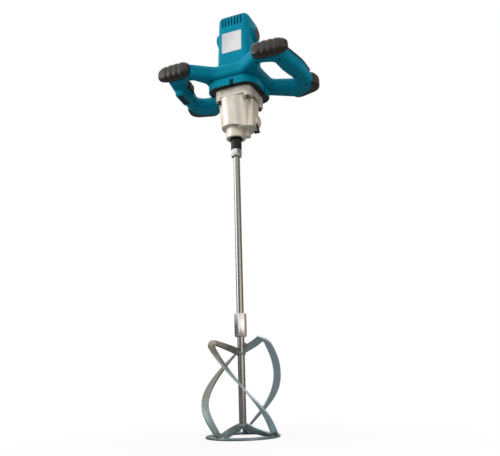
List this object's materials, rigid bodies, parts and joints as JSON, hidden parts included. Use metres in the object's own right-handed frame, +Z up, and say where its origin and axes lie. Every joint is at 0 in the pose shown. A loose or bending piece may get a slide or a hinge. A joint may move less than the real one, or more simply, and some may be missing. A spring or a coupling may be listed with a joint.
{
  "type": "mixing_drill",
  "caption": "Hand-held mixing drill with a D-handle on each side, a cast gearbox, a long rod and a paddle of twisted strips on a foot ring",
  "frame": {"origin": "On the floor that the foot ring stands on, under the middle of the machine's width and depth", "axes": "+Z up along the motor and the rod, +X to the right handle, -Y to the front of the motor with the rating plate"},
  "size_m": [0.3196, 0.2094, 0.8825],
  "materials": {
    "teal_plastic": "moulded nylon, fine satin grain",
    "black_rubber": "soft overmould, satin",
    "black_plastic": "moulded, matt",
    "cap_plastic": "dark moulded cap, satin",
    "cast_metal": "die cast, silver lacquer",
    "zinc_steel": "blue zinc plate over strip steel",
    "bright_steel": "bright plated bar",
    "dark_steel": "blackened steel",
    "screw_steel": "plated screws",
    "gear_steel": "machined, oiled",
    "bearing_steel": "ground bearing steel",
    "seal_rubber": "moulded lip seal",
    "plate_white": "bare white film plate",
    "core_iron": "stacked laminations",
    "copper_wire": "varnished copper",
    "brass_guide": "pressed brass",
    "carbon": "pressed carbon"
  },
  "bodies": {
    "machine": {"bearing_plate": "cast_metal", "brush_cap_left": "cap_plastic", "brush_cap_right": "cap_plastic", "brush_holder_left": "brass_guide", "brush_holder_right": "brass_guide", "cable_gland": "black_plastic", "carbon_brush_left": "carbon", "carbon_brush_right": "carbon", "exhaust_baffle": "black_plastic", "field_windings": "copper_wire", "front_bumper_left": "black_rubber", "front_bumper_right": "black_rubber", "gear_housing": "cast_metal", "gearbox_screws": "screw_steel", "grip_pad_left": "black_rubber", "grip_pad_right": "black_rubber", "handle_lower_shell": "teal_plastic", "handle_screws": "screw_steel", "handle_upper_shell": "teal_plastic", "hub_screws": "screw_steel", "layshaft_bearing_lower": "bearing_steel", "layshaft_bearing_upper": "bearing_steel", "motor_bearing_lower": "bearing_steel", "motor_bearing_upper": "bearing_steel", "motor_housing": "teal_plastic", "oil_seal": "seal_rubber", "rating_plate": "plate_white", "rear_bumper_left": "black_rubber", "rear_bumper_right": "black_rubber", "seal_ring": "bearing_steel", "selector_cap": "cast_metal", "speed_module": "black_plastic", "spindle_bearing_lower": "bearing_steel", "spindle_bearing_upper": "bearing_steel", "stator_core": "core_iron", "switch_body": "black_plastic"},
    "spindle": {"output_spindle": "dark_steel", "spindle_gear": "gear_steel", "spindle_key": "gear_steel", "spindle_circlip": "gear_steel", "rod_nut": "bright_steel", "mixing_rod": "bright_steel", "rod_coupling": "bright_steel", "paddle_shaft": "bright_steel", "paddle_ring": "zinc_steel", "paddle_blade_1": "zinc_steel", "paddle_blade_2": "zinc_steel", "paddle_blade_3": "zinc_steel"},
    "layshaft": {"layshaft": "gear_steel", "layshaft_gear": "gear_steel"},
    "armature": {"armature_shaft": "gear_steel", "armature_core": "core_iron", "armature_windings": "copper_wire", "commutator": "copper_wire", "cooling_fan": "black_plastic"},
    "trigger": {"trigger": "black_plastic"},
    "lock_button": {"lock_button": "black_plastic"},
    "selector": {"selector_lever": "black_plastic"}
  },
  "joints": [
    {"name": "spindle_spin", "type": "hinge", "parent": "machine", "child": "spindle", "pos_m": [-0.0105, 0.00399, 0.6], "axis": [0, 0, 1], "continuous": true},
    {"name": "layshaft_spin", "type": "hinge", "parent": "machine", "child": "layshaft", "pos_m": [0.018, 0.00399, 0.65], "axis": [0, 0, 1], "continuous": true},
    {"name": "armature_spin", "type": "hinge", "parent": "machine", "child": "armature", "pos_m": [0, 0.00399, 0.78], "axis": [0, 0, 1], "continuous": true},
    {"name": "trigger_pull", "type": "slide", "parent": "machine", "child": "trigger", "axis": [-1, 0, 0], "range_m": [0, 0.006], "stiffness_N_per_m": 600},
    {"name": "lock_press", "type": "slide", "parent": "machine", "child": "lock_button", "axis": [0, 0, 1], "range_m": [0, 0.003], "stiffness_N_per_m": 500},
    {"name": "selector_turn", "type": "hinge", "parent": "machine", "child": "selector", "pos_m": [0.037, 0.00999, 0.634], "axis": [1, 0, 0], "range_deg": [-25, 25]}
  ],
  "couplings": [
    {"joint": "layshaft_spin", "follows": "spindle_spin", "ratio": -3.8},
    {"joint": "armature_spin", "follows": "spindle_spin", "ratio": 19.95}
  ]
}
